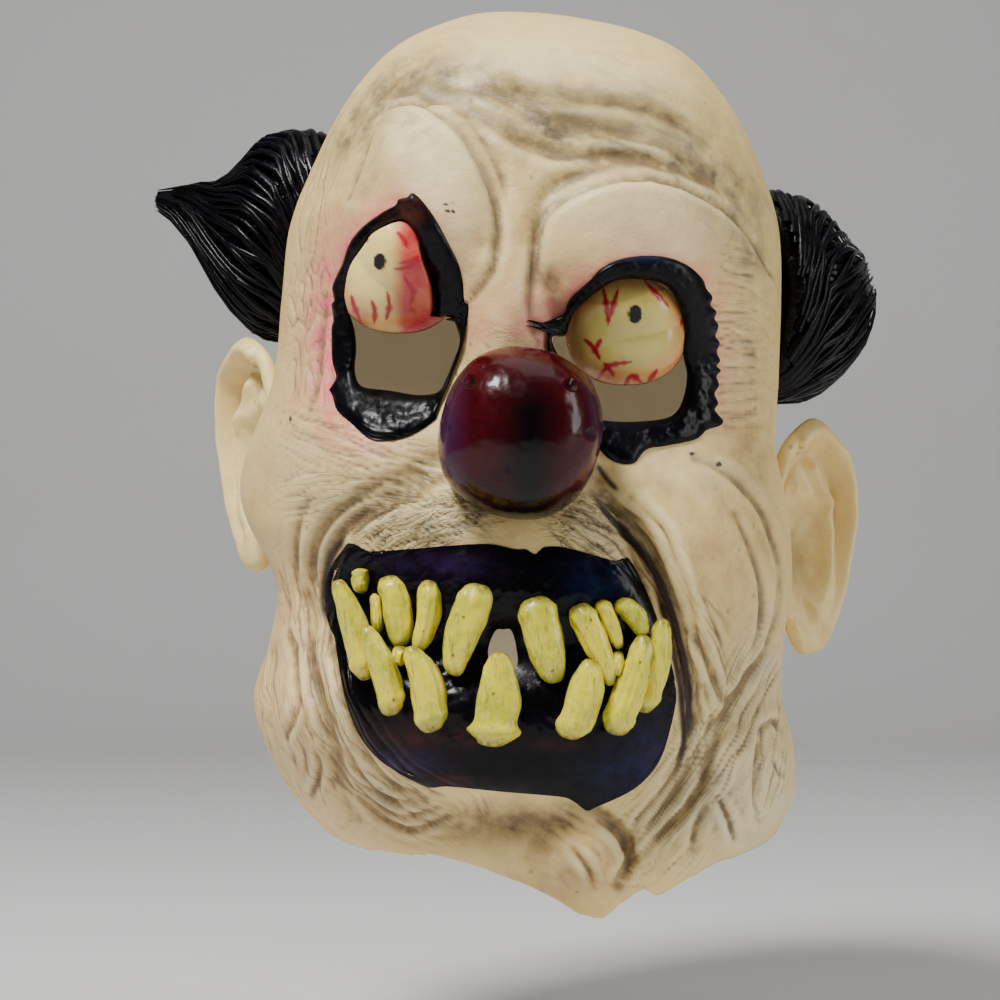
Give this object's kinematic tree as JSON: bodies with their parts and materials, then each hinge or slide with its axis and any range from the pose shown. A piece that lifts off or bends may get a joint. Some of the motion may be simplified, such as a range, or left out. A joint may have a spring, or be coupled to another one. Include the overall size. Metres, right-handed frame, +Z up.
{
  "type": "clown mask",
  "caption": "Full-head latex clown mask with bulging brows, a round nose, a snarling toothed mouth, side tufts and ears.",
  "frame": {"origin": "inside of the crown, where the wearer's head carries the mask", "axes": "-Y the way the face looks, +X to the right of a person looking at the face, +Z up"},
  "size_m": [0.2563, 0.2389, 0.2986],
  "materials": {
    "latex": "cream latex with a satin, wrinkled surface and brushed grey-brown washes",
    "ear_latex": "smooth cream-yellow latex, satin",
    "mouth_black": "gloss black paint on latex with faint purple and blue",
    "rim_black": "thick gloss black paint on latex",
    "hair_black": "gloss black paint on latex modelled as locks of hair",
    "nose_gloss": "dark maroon high gloss with a few small pits",
    "eyeball_paint": "yellow-cream gloss with red streaks",
    "tooth_paint": "rough yellow paint on latex, satin"
  },
  "bodies": {
    "root": {"mask_shell": "latex", "left_ear": "ear_latex", "right_ear": "ear_latex", "mouth": "mouth_black", "left_eye_rim": "rim_black", "right_eye_rim": "rim_black", "left_eyeball": "eyeball_paint", "right_eyeball": "eyeball_paint", "nose": "nose_gloss", "left_hair_tuft": "hair_black", "right_hair_tuft": "hair_black", "upper_tooth_1": "tooth_paint", "upper_tooth_2": "tooth_paint", "upper_tooth_3": "tooth_paint", "upper_tooth_4": "tooth_paint", "upper_tooth_5": "tooth_paint", "upper_tooth_6": "tooth_paint", "upper_tooth_7": "tooth_paint", "upper_tooth_8": "tooth_paint", "upper_tooth_9": "tooth_paint", "lower_tooth_1": "tooth_paint", "lower_tooth_2": "tooth_paint", "lower_tooth_3": "tooth_paint", "lower_tooth_4": "tooth_paint", "lower_tooth_5": "tooth_paint", "lower_tooth_6": "tooth_paint", "lower_tooth_7": "tooth_paint", "lower_tooth_8": "tooth_paint", "lower_tooth_9": "tooth_paint"}
  },
  "joints": []
}
